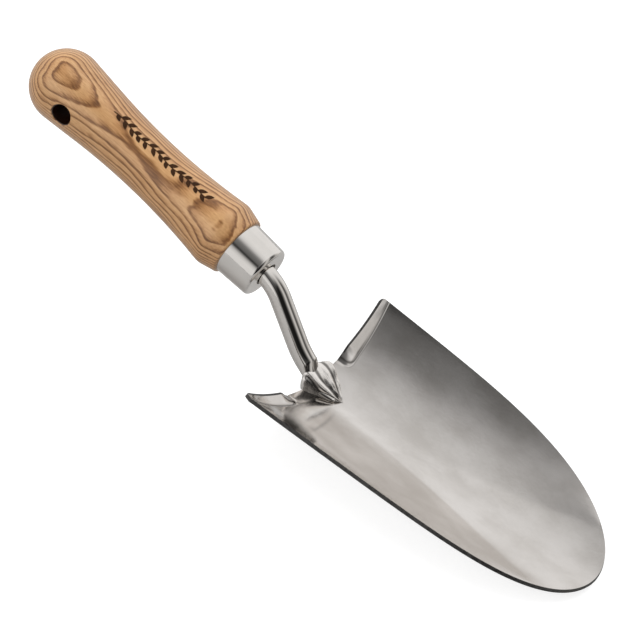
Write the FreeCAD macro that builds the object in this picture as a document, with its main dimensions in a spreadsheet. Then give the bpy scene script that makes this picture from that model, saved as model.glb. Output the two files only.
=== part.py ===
import FreeCAD, Part
import Sketcher
import math
import os

from FreeCAD import Placement, Rotation, Vector

# A hand trowel: an ash handle, a steel ferrule, and a round steel neck welded into a pressed,
# scoop-shaped blade. Millimetres throughout.
#
# The pieces are modelled in the tool's own directions: X runs along the handle towards the blade,
# with zero at the handle's front face, Z points out of the scoop, and Y is the width. The blade
# has directions of its own: u runs along its bottom line, v across it and w out of the scoop.
# The last step lays the finished trowel down on the straight part of its blade's back.

SIZES = {
    # handle, turned from one piece of ash
    "handle_length": 119.0,
    "pommel_radius": 16.25,
    "waist_radius": 12.9,
    "waist_place": 52.0,
    "hollow_radius": 318.0,
    "swell_radius": 15.7,
    "swell_round": 9.0,
    "front_taper": 14.0,
    "front_round": 1.2,
    "hang_hole_diameter": 9.2,
    "hang_hole_place": 92.5,
    "hang_hole_chamfer": 0.6,
    # ferrule, a cup drawn from thin tube
    "ferrule_length": 16.5,
    "ferrule_rear_radius": 12.6,
    "ferrule_front_radius": 11.9,
    "ferrule_round": 1.8,
    "ferrule_wall": 0.9,
    "ferrule_front_wall": 1.2,
    "neck_clearance": 0.9,
    # neck, a round bar with a drawn-down tang
    "neck_radius": 4.6,
    "neck_reach": 42.3,
    "bend_start": 21.5,
    "upper_bend_radius": 22.0,
    "lower_bend_radius": 33.0,
    "neck_slope": 37.0,
    "tang_length": 68.0,
    "tang_shoulder_place": 6.0,
    "tang_root_radius": 3.8,
    "tang_tip_radius": 2.6,
    "tang_bore_radius": 4.7,
    "adhesive_front": 12.0,
    "tongue_start_angle": 20.0,
    "tongue_width": 11.0,
    "tongue_thickness": 5.4,
    "tongue_length": 15.5,
    # blade, pressed from one sheet
    "heel_place": 55.5,
    "heel_drop": 29.5,
    "blade_pitch": 10.4,
    "blade_length": 149.5,
    "blade_half_width": 48.6,
    "side_taper": 0.042,
    "nose_power": 4.5,
    "nose_rise": 4.0,
    "nose_rise_power": 6.0,
    "section_radius": 68.0,
    "sheet_thickness": 1.6,
    "rear_sweep": 2.9,
    "ear_sweep": 1.36,
    "ear_round": 1.8,
    "throat_half_width": 17.0,
    "lip_throat_rise": 2.4,
    "lip_ear_rise": 0.5,
    "lip_bend": 0.25,
    "lip_end": 5.5,
    "lip_throat_width": 6.2,
    "lip_ear_width": 3.8,
    # weld between the neck's tongue and the blade
    "weld_half_width": 8.8,
    "weld_length": 19.5,
    "weld_height": 6.2,
    "weld_overhang": 3.6,
    "weld_aside": 2.6,
}

BORE_SPARE = 2.0
RAD = math.pi / 180


def make_sheet(doc):
    """The driving dimensions, one row each: a name, and a number with that name as its alias."""
    sheet = doc.addObject("Spreadsheet::Sheet", "Sizes")
    for row, (alias, value) in enumerate(SIZES.items(), start=1):
        sheet.set(f"A{row}", alias)
        sheet.set(f"B{row}", str(value))
        sheet.setAlias(f"B{row}", alias)
    doc.recompute()
    return sheet


def plane_sketch(body, role, name, offset=None):
    """A sketch on one of a body's own origin planes, moved within the plane's axes by offset."""
    sketch = body.newObject("Sketcher::SketchObject", name)
    plane = next(item for item in body.Origin.OriginFeatures if item.Role == role)
    sketch.AttachmentSupport = (plane, [""])
    sketch.MapMode = "FlatFace"
    if offset is not None:
        sketch.AttachmentOffset = offset
    return sketch


def flat(x, y):
    return Vector(x, y, 0)


def line(start, end):
    return Part.LineSegment(flat(*start), flat(*end))


def arc(centre, radius, start_angle, end_angle):
    """A counter-clockwise arc; the angles are in radians."""
    circle = Part.Circle(flat(*centre), Vector(0, 0, 1), radius)
    return Part.ArcOfCircle(circle, start_angle, end_angle)


def bind(sketch, kind, arguments, alias, value):
    """A dimension of the sketch that takes its value from the sheet's cell."""
    index = sketch.addConstraint(Sketcher.Constraint(kind, *arguments, value))
    sketch.renameConstraint(index, alias)
    sketch.setExpression(f"Constraints.{alias}", f"Sizes.{alias}")


# The numbers that Sketcher gives the two ends and the centre of a line or an arc.
START, END, CENTRE = 1, 2, 3
# A sketch's own axes: element -1 is its X axis and element -2 its Y axis.
AXIS_X, AXIS_Y = -1, -2


def add_handle(doc, size):
    """The ash grip: a ball pommel, a long hollow, a swell, and a spigot for the ferrule."""
    body = doc.addObject("PartDesign::Body", "handle")
    sketch = plane_sketch(body, "XZ_Plane", "handle_profile")

    # Where the arcs touch. The hollow's centre stands above the waist, outside the wood.
    ball = (-size.handle_length + size.pommel_radius, 0)
    hollow = (-size.waist_place, size.waist_radius + size.hollow_radius)
    reach = (hollow[0] - ball[0], hollow[1])
    both = size.pommel_radius + size.hollow_radius
    cone = math.atan2(*reach) - math.acos(both / math.hypot(*reach))
    crest_height = size.swell_radius - size.swell_round
    outer = size.hollow_radius + size.swell_round
    crest_reach = math.sqrt(outer**2 - (hollow[1] - crest_height) ** 2)
    crest = (hollow[0] + crest_reach, crest_height)
    turn = math.asin(crest_reach / outer)
    taper = size.front_taper * RAD

    ball_end = (
        ball[0] + size.pommel_radius * math.sin(cone),
        size.pommel_radius * math.cos(cone),
    )
    hollow_start = (
        hollow[0] - size.hollow_radius * math.sin(cone),
        hollow[1] - size.hollow_radius * math.cos(cone),
    )
    crest_end = (
        crest[0] + size.swell_round * math.sin(taper),
        crest[1] + size.swell_round * math.cos(taper),
    )
    round_centre_x = -size.front_round
    drop = (round_centre_x + size.front_round * math.sin(taper) - crest_end[0]) * math.tan(taper)
    round_start = (round_centre_x + size.front_round * math.sin(taper), crest_end[1] - drop)
    round_centre = (round_centre_x, round_start[1] - size.front_round * math.cos(taper))
    spigot_rear = size.ferrule_rear_radius - size.ferrule_wall
    spigot_front = size.ferrule_front_radius - size.ferrule_wall
    spigot_end = size.ferrule_length - size.ferrule_front_wall

    outline = [
        arc(ball, size.pommel_radius, math.pi / 2 - cone, math.pi),
        line(ball_end, hollow_start),
        arc(hollow, size.hollow_radius, 1.5 * math.pi - cone, 1.5 * math.pi + turn),
        arc(crest, size.swell_round, math.pi / 2 - taper, math.pi / 2 + turn),
        line(crest_end, round_start),
        arc(round_centre, size.front_round, 0, math.pi / 2 - taper),
        line((0, round_centre[1]), (0, spigot_rear)),
        line((0, spigot_rear), (spigot_end, spigot_front)),
        line((spigot_end, spigot_front), (spigot_end, 0)),
        line((spigot_end, 0), (-size.handle_length, 0)),
    ]
    sketch.addGeometry(outline, False)
    butt, side, grip, swell, front, edge, face, spigot, nose, axis = range(len(outline))
    joins = [
        ("Tangent", butt, START, side, START),
        ("Tangent", side, END, grip, START),
        ("Tangent", grip, END, swell, END),
        ("Tangent", swell, START, front, START),
        ("Tangent", front, END, edge, END),
        ("Tangent", edge, START, face, START),
        ("Coincident", face, END, spigot, START),
        ("Coincident", spigot, END, nose, START),
        ("Coincident", nose, END, axis, START),
        ("Coincident", axis, END, butt, END),
        ("Vertical", face),
        ("Vertical", nose),
        ("Horizontal", axis),
        ("PointOnObject", axis, START, AXIS_X),
        ("PointOnObject", butt, CENTRE, AXIS_X),
        ("PointOnObject", face, START, AXIS_Y),
    ]
    for kind, *arguments in joins:
        sketch.addConstraint(Sketcher.Constraint(kind, *arguments))
    bind(sketch, "Radius", (butt,), "pommel_radius", size.pommel_radius)
    bind(sketch, "Radius", (grip,), "hollow_radius", size.hollow_radius)
    bind(sketch, "Radius", (swell,), "swell_round", size.swell_round)
    bind(sketch, "Radius", (edge,), "front_round", size.front_round)
    dimensions = [
        ("DistanceX", (butt, END, AXIS_X, START), "handle_length", size.handle_length),
        ("DistanceX", (grip, CENTRE, AXIS_X, START), "waist_place", size.waist_place),
    ]
    for kind, arguments, alias, value in dimensions:
        bind(sketch, kind, arguments, alias, value)
    formulas = [
        ("hollow_height", (grip, CENTRE), "Sizes.waist_radius + Sizes.hollow_radius", hollow[1]),
        ("crest_height", (swell, CENTRE), "Sizes.swell_radius - Sizes.swell_round", crest[1]),
        ("spigot_rear", (spigot, START), "Sizes.ferrule_rear_radius - Sizes.ferrule_wall",
         spigot_rear),
        ("spigot_front", (spigot, END), "Sizes.ferrule_front_radius - Sizes.ferrule_wall",
         spigot_front),
    ]
    for name, point, formula, value in formulas:
        index = sketch.addConstraint(Sketcher.Constraint("DistanceY", AXIS_X, START, *point, value))
        sketch.renameConstraint(index, name)
        sketch.setExpression(f"Constraints.{name}", formula)
    index = sketch.addConstraint(
        Sketcher.Constraint("DistanceX", AXIS_X, START, nose, END, spigot_end)
    )
    sketch.renameConstraint(index, "spigot_end")
    sketch.setExpression("Constraints.spigot_end", "Sizes.ferrule_length - Sizes.ferrule_front_wall")
    index = sketch.addConstraint(Sketcher.Constraint("Angle", front, -taper))
    sketch.renameConstraint(index, "front_taper")
    sketch.setExpression("Constraints.front_taper", "-Sizes.front_taper * 1 deg")

    turned = body.newObject("PartDesign::Revolution", "turned_grip")
    turned.Profile = sketch
    turned.ReferenceAxis = (sketch, ["H_Axis"])
    turned.Angle = 360
    doc.recompute()
    solid = turned.Shape.Volume

    hole_sketch = plane_sketch(body, "XZ_Plane", "hang_hole_circle")
    hole_sketch.addGeometry(
        Part.Circle(flat(-size.hang_hole_place, 0), Vector(0, 0, 1), size.hang_hole_diameter / 2),
        False,
    )
    hole_sketch.addConstraint(Sketcher.Constraint("PointOnObject", 0, CENTRE, AXIS_X))
    bind(hole_sketch, "Diameter", (0,), "hang_hole_diameter", size.hang_hole_diameter)
    bind(hole_sketch, "DistanceX", (0, CENTRE, AXIS_X, START), "hang_hole_place",
         size.hang_hole_place)
    hang_hole = body.newObject("PartDesign::Pocket", "hang_hole")
    hang_hole.Profile = hole_sketch
    hang_hole.Type = "ThroughAll"
    hang_hole.Midplane = True
    doc.recompute()
    drilled = hang_hole.Shape.Volume
    expect_cut("hang hole", solid, drilled)

    bore_sketch = plane_sketch(body, "XZ_Plane", "tang_bore_profile")
    deep = -size.tang_length - BORE_SPARE
    corners = [
        (deep, 0),
        (deep, size.tang_bore_radius),
        (spigot_end + 1, size.tang_bore_radius),
        (spigot_end + 1, 0),
    ]
    closed_polygon(bore_sketch, corners)
    bind(bore_sketch, "DistanceY", (AXIS_X, START, 1, START), "tang_bore_radius",
         size.tang_bore_radius)
    bore = body.newObject("PartDesign::Groove", "tang_bore")
    bore.Profile = bore_sketch
    bore.ReferenceAxis = (bore_sketch, ["H_Axis"])
    bore.Angle = 360
    doc.recompute()
    expect_cut("tang bore", drilled, bore.Shape.Volume)

    rims = [
        f"Edge{number}"
        for number, edge in enumerate(bore.Shape.Edges, start=1)
        if abs(edge.CenterOfMass.x + size.hang_hole_place) < size.hang_hole_diameter / 2
        and abs(edge.CenterOfMass.y) > size.waist_radius
    ]
    eased = body.newObject("PartDesign::Chamfer", "hang_hole_rims")
    eased.Base = (bore, rims)
    eased.setExpression("Size", "Sizes.hang_hole_chamfer")
    doc.recompute()
    body.Tip = eased
    return body


def closed_polygon(sketch, corners):
    """Straight lines from corner to corner and back to the first, joined at their ends."""
    count = len(corners)
    for number, corner in enumerate(corners):
        sketch.addGeometry(line(corner, corners[(number + 1) % count]), False)
    for number in range(count):
        sketch.addConstraint(
            Sketcher.Constraint("Coincident", number, END, (number + 1) % count, START)
        )


def expect_cut(name, before, after):
    if after >= before - 1e-6:
        raise RuntimeError(f"the {name} removed nothing")


def add_ferrule(doc, size):
    """The ferrule: a tapered cup with a rounded front edge and a hole for the neck."""
    body = doc.addObject("PartDesign::Body", "ferrule")
    sketch = plane_sketch(body, "XZ_Plane", "ferrule_profile")
    wall = size.ferrule_wall
    length = size.ferrule_length
    hole = size.neck_radius + size.neck_clearance
    corners = [
        (0, size.ferrule_rear_radius - wall),
        (0, size.ferrule_rear_radius),
        (length, size.ferrule_front_radius),
        (length, hole),
        (length - size.ferrule_front_wall, hole),
        (length - size.ferrule_front_wall, size.ferrule_front_radius - wall),
    ]
    closed_polygon(sketch, corners)
    rear, outside, front, bore, inner_face, inside = range(len(corners))
    for upright in (rear, front, inner_face):
        sketch.addConstraint(Sketcher.Constraint("Vertical", upright))
    sketch.addConstraint(Sketcher.Constraint("Horizontal", bore))
    sketch.addConstraint(Sketcher.Constraint("PointOnObject", rear, START, AXIS_Y))
    bind(sketch, "DistanceY", (AXIS_X, START, outside, START), "ferrule_rear_radius",
         size.ferrule_rear_radius)
    bind(sketch, "DistanceY", (AXIS_X, START, outside, END), "ferrule_front_radius",
         size.ferrule_front_radius)
    bind(sketch, "DistanceX", (AXIS_X, START, front, START), "ferrule_length", length)
    bind(sketch, "DistanceY", (rear, START, rear, END), "ferrule_wall", wall)
    bind(sketch, "DistanceX", (bore, END, bore, START), "ferrule_front_wall",
         size.ferrule_front_wall)
    cup = body.newObject("PartDesign::Revolution", "drawn_cup")
    cup.Profile = sketch
    cup.ReferenceAxis = (sketch, ["H_Axis"])
    cup.Angle = 360
    doc.recompute()

    rim = [
        f"Edge{number}"
        for number, edge in enumerate(cup.Shape.Edges, start=1)
        if edge.Length > 2 * math.pi * size.ferrule_front_radius - 0.1
        and abs(edge.CenterOfMass.x - length) < 0.01
        and edge.Curve.TypeId == "Part::GeomCircle"
    ]
    rounded = body.newObject("PartDesign::Fillet", "front_edge")
    rounded.Base = (cup, rim)
    rounded.setExpression("Radius", "Sizes.ferrule_round")
    doc.recompute()
    body.Tip = rounded
    return body


def neck_corners(size):
    """Where the neck's straight runs would meet, in X and Z, and the slope and pitch in radians."""
    slope = size.neck_slope * RAD
    upper = (size.bend_start, 0)
    lower = (
        upper[0] + size.neck_reach * math.cos(slope),
        -size.neck_reach * math.sin(slope),
    )
    return upper, lower, slope, size.blade_pitch * RAD


def add_neck(doc, size):
    """The neck: a tang inside the handle, a double bend, and an end beaten flat into a tongue."""
    body = doc.addObject("PartDesign::Body", "neck")
    upper, lower, slope, pitch = neck_corners(size)
    radius = size.neck_radius

    tang_sketch = plane_sketch(body, "XZ_Plane", "tang_profile")
    shoulder = size.tang_shoulder_place
    corners = [
        (-size.tang_length, 0),
        (-size.tang_length, size.tang_tip_radius),
        (shoulder - (radius - size.tang_root_radius), size.tang_root_radius),
        (shoulder, radius),
        (shoulder, 0),
    ]
    closed_polygon(tang_sketch, corners)
    butt, taper, cone, face, axis = range(len(corners))
    for upright in (butt, face):
        tang_sketch.addConstraint(Sketcher.Constraint("Vertical", upright))
    tang_sketch.addConstraint(Sketcher.Constraint("PointOnObject", axis, START, AXIS_X))
    tang_sketch.addConstraint(Sketcher.Constraint("PointOnObject", axis, END, AXIS_X))
    bind(tang_sketch, "DistanceX", (butt, START, AXIS_X, START), "tang_length", size.tang_length)
    bind(tang_sketch, "DistanceX", (AXIS_X, START, face, END), "tang_shoulder_place", shoulder)
    bind(tang_sketch, "DistanceY", (AXIS_X, START, butt, END), "tang_tip_radius",
         size.tang_tip_radius)
    bind(tang_sketch, "DistanceY", (AXIS_X, START, cone, START), "tang_root_radius",
         size.tang_root_radius)
    bind(tang_sketch, "DistanceY", (AXIS_X, START, cone, END), "neck_radius", radius)
    tang = body.newObject("PartDesign::Revolution", "tang")
    tang.Profile = tang_sketch
    tang.ReferenceAxis = (tang_sketch, ["H_Axis"])
    tang.Angle = 360

    upper_tangent = size.upper_bend_radius * math.tan(slope / 2)
    lower_tangent = size.lower_bend_radius * math.tan((slope + pitch) / 2)
    along = (math.cos(slope), -math.sin(slope))
    bend_in = (upper[0] - upper_tangent, 0)
    bend_out = (upper[0] + upper_tangent * along[0], upper_tangent * along[1])
    lower_in = (lower[0] - lower_tangent * along[0], lower[1] - lower_tangent * along[1])
    upper_centre = (bend_in[0], -size.upper_bend_radius)
    lower_centre = (
        lower_in[0] + size.lower_bend_radius * math.sin(slope),
        lower_in[1] + size.lower_bend_radius * math.cos(slope),
    )
    flatten = size.tongue_start_angle * RAD
    path_sketch = plane_sketch(body, "XZ_Plane", "neck_centre_line")
    path_sketch.addGeometry(
        [
            line((shoulder, 0), bend_in),
            arc(upper_centre, size.upper_bend_radius, math.pi / 2 - slope, math.pi / 2),
            line(bend_out, lower_in),
            arc(lower_centre, size.lower_bend_radius, 1.5 * math.pi - slope,
                1.5 * math.pi - flatten),
        ],
        False,
    )
    straight, high_bend, middle, low_bend = range(4)
    joins = [
        ("Tangent", straight, END, high_bend, END),
        ("Tangent", high_bend, START, middle, START),
        ("Tangent", middle, END, low_bend, START),
        ("Horizontal", straight),
        ("PointOnObject", straight, START, AXIS_X),
    ]
    for kind, *arguments in joins:
        path_sketch.addConstraint(Sketcher.Constraint(kind, *arguments))
    bind(path_sketch, "DistanceX", (AXIS_X, START, straight, START), "tang_shoulder_place",
         shoulder)
    bind(path_sketch, "Radius", (high_bend,), "upper_bend_radius", size.upper_bend_radius)
    bind(path_sketch, "Radius", (low_bend,), "lower_bend_radius", size.lower_bend_radius)

    bar_sketch = plane_sketch(
        body, "YZ_Plane", "bar_section", Placement(Vector(0, 0, shoulder), Rotation())
    )
    bar_sketch.addGeometry(Part.Circle(flat(0, 0), Vector(0, 0, 1), radius), False)
    bar_sketch.addConstraint(Sketcher.Constraint("Coincident", 0, CENTRE, AXIS_X, START))
    bind(bar_sketch, "Radius", (0,), "neck_radius", radius)
    doc.recompute()
    bar = body.newObject("PartDesign::AdditivePipe", "bent_bar")
    bar.Profile = bar_sketch
    bar.Spine = path_sketch
    doc.recompute()

    # The tongue's sections: distance along the blade's bottom line, height of the middle above
    # it, half width, half thickness, and the section's lean from upright.
    heel = (size.heel_place, -size.heel_drop)
    bar_end = (
        lower_centre[0] - size.lower_bend_radius * math.sin(flatten),
        lower_centre[1] - size.lower_bend_radius * math.cos(flatten),
    )
    half_width = size.tongue_width / 2
    half_thickness = size.tongue_thickness / 2
    length = size.tongue_length
    flats = [
        (0.30 * length, half_thickness + 0.5, half_width, half_thickness, 0.6),
        (0.68 * length, 0.62 * half_thickness, 0.78 * half_width, 0.60 * half_thickness, 1.0),
        (0.97 * length, 0.30 * half_thickness, 0.36 * half_width, 0.28 * half_thickness, 1.0),
    ]
    sections = [(bar_end, radius, radius, -flatten)]
    for along_blade, height, half_a, half_b, lean in flats:
        place = (
            heel[0] + along_blade * math.cos(pitch) - height * math.sin(pitch),
            heel[1] + along_blade * math.sin(pitch) + height * math.cos(pitch),
        )
        sections.append((place, half_a, half_b, pitch * lean))
    sketches = []
    for number, (place, half_a, half_b, lean) in enumerate(sections):
        offset = Placement(Vector(0, place[1], place[0]), Rotation(Vector(1, 0, 0), -lean / RAD))
        section = plane_sketch(body, "YZ_Plane", f"tongue_section_{number}", offset)
        if half_a == half_b:
            section.addGeometry(Part.Circle(flat(0, 0), Vector(0, 0, 1), half_a), False)
        else:
            section.addGeometry(Part.Ellipse(flat(half_a, 0), flat(0, half_b), flat(0, 0)), False)
        section.addConstraint(Sketcher.Constraint("Coincident", 0, CENTRE, AXIS_X, START))
        sketches.append(section)
    doc.recompute()
    tongue = body.newObject("PartDesign::AdditiveLoft", "tongue")
    tongue.Profile = sketches[0]
    tongue.Sections = sketches[1:]
    doc.recompute()
    body.Tip = tongue
    return body


def blade_half_width(size, along):
    """Half the width of the blade: nearly straight sides, a full, round nose and round ears."""
    nose = math.sqrt(max(1 - (along / size.blade_length) ** size.nose_power, 0))
    short = max(size.ear_round - along, 0)
    ear = size.ear_round - math.sqrt(size.ear_round**2 - short**2)
    return (size.blade_half_width - size.side_taper * along) * nose - ear


def keel_height(size, along):
    """The height of the scoop's bottom line, which is straight and rises at the nose."""
    return size.nose_rise * (along / size.blade_length) ** size.nose_rise_power


def lip_height(size, along, across):
    """How far the rear edge is turned in. The lip starts on either side of the throat, where
    the neck comes in, and is wider there than at the ears."""
    from_throat = abs(across) - size.throat_half_width
    share = min(max(from_throat / size.lip_end, 0), 1)
    to_ear = min(max(from_throat / (size.blade_half_width - size.throat_half_width), 0), 1)
    width = size.lip_throat_width + (size.lip_ear_width - size.lip_throat_width) * to_ear
    rise = size.lip_throat_rise + (size.lip_ear_rise - size.lip_throat_rise) * to_ear**3
    before = 1 - along / width
    bend = (before + math.sqrt(before**2 + size.lip_bend**2)) / 2
    return rise * bend * share**2 * (3 - 2 * share)


def blade_point(size, along, side):
    """A point of the scoop's inside, in u, v and w. It is along from the rear edge, and side
    runs from -1 at one edge to 1 at the other. The ears are swept back."""
    radius = size.section_radius
    angle = side * math.asin(blade_half_width(size, along) / radius)
    sweep = size.rear_sweep * (1 - size.ear_sweep * side**2)
    u = along + sweep * (1 - along / size.blade_length) ** 2
    reach = radius - lip_height(size, along, radius * math.sin(angle))
    up = keel_height(size, along)
    return Vector(u, reach * math.sin(angle), up + radius - reach * math.cos(angle))


def blade_rows(size):
    """Distances from the rear edge at which the sheet's surface is defined: close together at
    the lip, and closing up again to follow the round nose."""
    lip_steps = 14
    nose_steps = 22
    lip = 1.6 * size.lip_throat_width
    first = math.asin(lip / size.blade_length)
    rows = [lip * step / lip_steps for step in range(lip_steps)]
    for step in range(nose_steps):
        turn = first + (math.pi / 2 - first) * step / nose_steps
        rows.append(size.blade_length * math.sin(turn))
    return rows


def sheet_point(size, along, side, depth):
    """A point of the sheet, depth below the scoop's inside."""
    small = 0.0005
    point = blade_point(size, along, side)
    ahead = blade_point(size, along + small * 10, side) - point
    across = blade_point(size, along, side + small) - blade_point(size, along, side - small)
    return point - ahead.cross(across).normalize() * depth


def tip_point(size, depth):
    """The sheet's point at the very tip, where its two sides meet."""
    slope = size.nose_rise * size.nose_rise_power / size.blade_length
    down = Vector(slope, 0, -1).normalize()
    return Vector(size.blade_length, 0, size.nose_rise) + down * depth


def sheet_surface(size, depth):
    """The scoop's surface, moved by depth towards its outside, as one smooth face."""
    columns = 41
    sides = [2 * column / (columns - 1) - 1 for column in range(columns)]
    grid = [[sheet_point(size, along, side, depth) for side in sides] for along in blade_rows(size)]
    grid.append([tip_point(size, depth)] * columns)
    surface = Part.BSplineSurface()
    surface.interpolate(grid)
    return surface


def blade_shape(size):
    """The blade in u, v and w: two faces a sheet's thickness apart, and the rims between."""
    inside = sheet_surface(size, 0)
    outside = sheet_surface(size, size.sheet_thickness)
    u_first, u_last, v_first, v_last = inside.bounds()
    rear = [surface.uIso(u_first).toShape() for surface in (inside, outside)]
    right = [surface.vIso(v_first).toShape() for surface in (inside, outside)]
    left = [surface.vIso(v_last).toShape() for surface in (inside, outside)]
    faces = [inside.toShape(), outside.toShape()]
    faces += [Part.makeRuledSurface(*edges) for edges in (rear, right, left)]
    shell = Part.makeShell(faces)
    shell.sewShape()
    solid = Part.makeSolid(shell)
    if solid.Volume < 0:
        solid.reverse()
    return solid


def weld_shape(size, neck_in_blade, blade):
    """The weld in u, v and w: a mound that the tongue sinks into. It laps over the sheet's rear
    edge, is heavier on one side of the neck, and comes to a point in front of the tongue."""
    root = 0.8
    sections = []
    for along, wide, high in [(0, 1, 1), (0.35, 0.86, 0.8), (0.7, 0.58, 0.45), (1, 0.2, 0.12)]:
        u = size.rear_sweep - size.weld_overhang + along * size.weld_length
        aside = size.weld_aside * (1 - 0.4 * along)
        half = wide * size.weld_half_width
        top = high * size.weld_height
        under = size.section_radius - math.sqrt((size.section_radius + root) ** 2 - half**2)
        left = Vector(u, aside - half, under)
        right = Vector(u, aside + half, under)
        crown = Part.Arc(left, Vector(u, aside, top), right).toShape()
        floor = Part.Arc(right, Vector(u, aside, -root), left).toShape()
        sections.append(Part.Wire([crown, floor]))
    bead = Part.makeLoft(sections, True, False)
    return bead.cut(neck_in_blade).cut(blade)


def add_adhesive(doc, size):
    """The adhesive that fills the bore round the tang."""
    body = doc.addObject("PartDesign::Body", "tang_adhesive")
    sketch = plane_sketch(body, "XZ_Plane", "adhesive_profile")
    shoulder = size.tang_shoulder_place
    root = shoulder - (size.neck_radius - size.tang_root_radius)
    corners = [
        (-size.tang_length - BORE_SPARE, 0),
        (-size.tang_length - BORE_SPARE, size.tang_bore_radius),
        (size.adhesive_front, size.tang_bore_radius),
        (size.adhesive_front, size.neck_radius),
        (shoulder, size.neck_radius),
        (root, size.tang_root_radius),
        (-size.tang_length, size.tang_tip_radius),
        (-size.tang_length, 0),
    ]
    closed_polygon(sketch, corners)
    bind(sketch, "DistanceY", (AXIS_X, START, 1, START), "tang_bore_radius", size.tang_bore_radius)
    bind(sketch, "DistanceX", (AXIS_X, START, 2, START), "adhesive_front", size.adhesive_front)
    bind(sketch, "DistanceY", (AXIS_X, START, 4, START), "neck_radius", size.neck_radius)
    bind(sketch, "DistanceY", (AXIS_X, START, 5, END), "tang_tip_radius", size.tang_tip_radius)
    sleeve = body.newObject("PartDesign::Revolution", "sleeve")
    sleeve.Profile = sketch
    sleeve.ReferenceAxis = (sketch, ["H_Axis"])
    sleeve.Angle = 360
    doc.recompute()
    body.Tip = sleeve
    return body


def add_feature(doc, label, shape):
    """A sub-part whose shape is made with Part's own functions."""
    feature = doc.addObject("Part::Feature", label)
    feature.Shape = shape
    return feature


def blade_place(size):
    """The blade's own directions, placed in the tool's."""
    heel = Vector(size.heel_place, 0, -size.heel_drop)
    return Placement(heel, Rotation(Vector(0, 1, 0), -size.blade_pitch))


def rest_place(size, shapes):
    """The tool's place when it lies on a table, on the straight bottom line of its blade, with
    the origin under the middle of its bounding box."""
    turn = Placement(Vector(0, 0, 0), Rotation(Vector(0, 1, 0), size.blade_pitch))
    everything = Part.makeCompound(shapes)
    everything.Placement = turn
    box = everything.optimalBoundingBox(False, False)
    middle = Vector(-(box.XMin + box.XMax) / 2, 0, -box.ZMin)
    print(f"moved by {middle.x:.3f} and {middle.z:.3f} mm")
    return Placement(middle, turn.Rotation)


def check(doc, parts):
    """Stops if any object failed, or if a sub-part isn't one valid solid."""
    for item in doc.Objects:
        if "Invalid" in item.State or "Error" in item.State:
            raise RuntimeError(f"{item.Name} failed: {item.State}")
    for part in parts:
        shape = part.Shape
        if shape.isNull() or not shape.isValid() or len(shape.Solids) != 1:
            raise RuntimeError(f"{part.Label} is not one valid solid")
        print(f"{part.Label}: {shape.Volume:.0f} cubic mm")


def main():
    doc = FreeCAD.newDocument("hand_trowel")
    size = make_sheet(doc)
    handle = add_handle(doc, size)
    ferrule = add_ferrule(doc, size)
    adhesive = add_adhesive(doc, size)
    neck = add_neck(doc, size)

    place = blade_place(size)
    sheet = blade_shape(size)
    # The weld fills what the tongue and the sheet leave free, so both are taken off it.
    neck_in_blade = neck.Shape.copy()
    neck_in_blade.Placement = place.inverse()
    blade = add_feature(doc, "blade", sheet)
    weld = add_feature(doc, "weld_bead", weld_shape(size, neck_in_blade, sheet))
    blade.Placement = place
    weld.Placement = place
    parts = [handle, ferrule, adhesive, neck, blade, weld]
    doc.recompute()

    rest = rest_place(size, [part.Shape for part in parts])
    for part in parts:
        part.Placement = rest.multiply(part.Placement)
    doc.recompute()
    check(doc, parts)
    os.makedirs("parts", exist_ok=True)
    for part in parts:
        part.Shape.exportStep(f"parts/{part.Label}.step")


main()
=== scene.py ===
import math

import bmesh
import bpy
from mathutils import Euler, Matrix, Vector, noise


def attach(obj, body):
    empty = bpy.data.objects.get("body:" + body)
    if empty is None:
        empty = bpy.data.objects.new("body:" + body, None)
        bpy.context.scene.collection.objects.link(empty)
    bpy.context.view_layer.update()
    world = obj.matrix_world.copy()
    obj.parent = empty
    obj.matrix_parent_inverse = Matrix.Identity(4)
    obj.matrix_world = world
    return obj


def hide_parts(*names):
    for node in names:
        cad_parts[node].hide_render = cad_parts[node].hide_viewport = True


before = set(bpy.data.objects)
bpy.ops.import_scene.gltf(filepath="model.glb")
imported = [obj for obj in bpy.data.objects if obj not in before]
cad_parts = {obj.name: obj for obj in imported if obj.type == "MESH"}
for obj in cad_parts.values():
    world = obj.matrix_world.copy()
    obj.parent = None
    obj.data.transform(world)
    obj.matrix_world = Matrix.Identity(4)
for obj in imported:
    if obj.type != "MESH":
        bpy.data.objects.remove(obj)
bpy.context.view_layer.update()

# A hand trowel, lying on the back of its blade. Lengths are in millimetres in the tool's own
# directions, as in part.py: x along the handle from its front face, z out of the scoop, y across.
# lay() turns them into metres in the row frame.
MM = 0.001
TILT = math.radians(10.4)
SHIFT = Vector((-40.852, 0.0, 40.636))


def lay(point):
    """A point in the tool's directions, in the row frame in metres."""
    x, y, z = point
    cos, sin = math.cos(TILT), math.sin(TILT)
    return (Vector((x * cos + z * sin, y, z * cos - x * sin)) + SHIFT) * MM


def mix(a, b, share):
    return a + (b - a) * share


def smooth(share):
    share = min(max(share, 0.0), 1.0)
    return share * share * (3 - 2 * share)


# ---------------------------------------------------------------- materials


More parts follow.
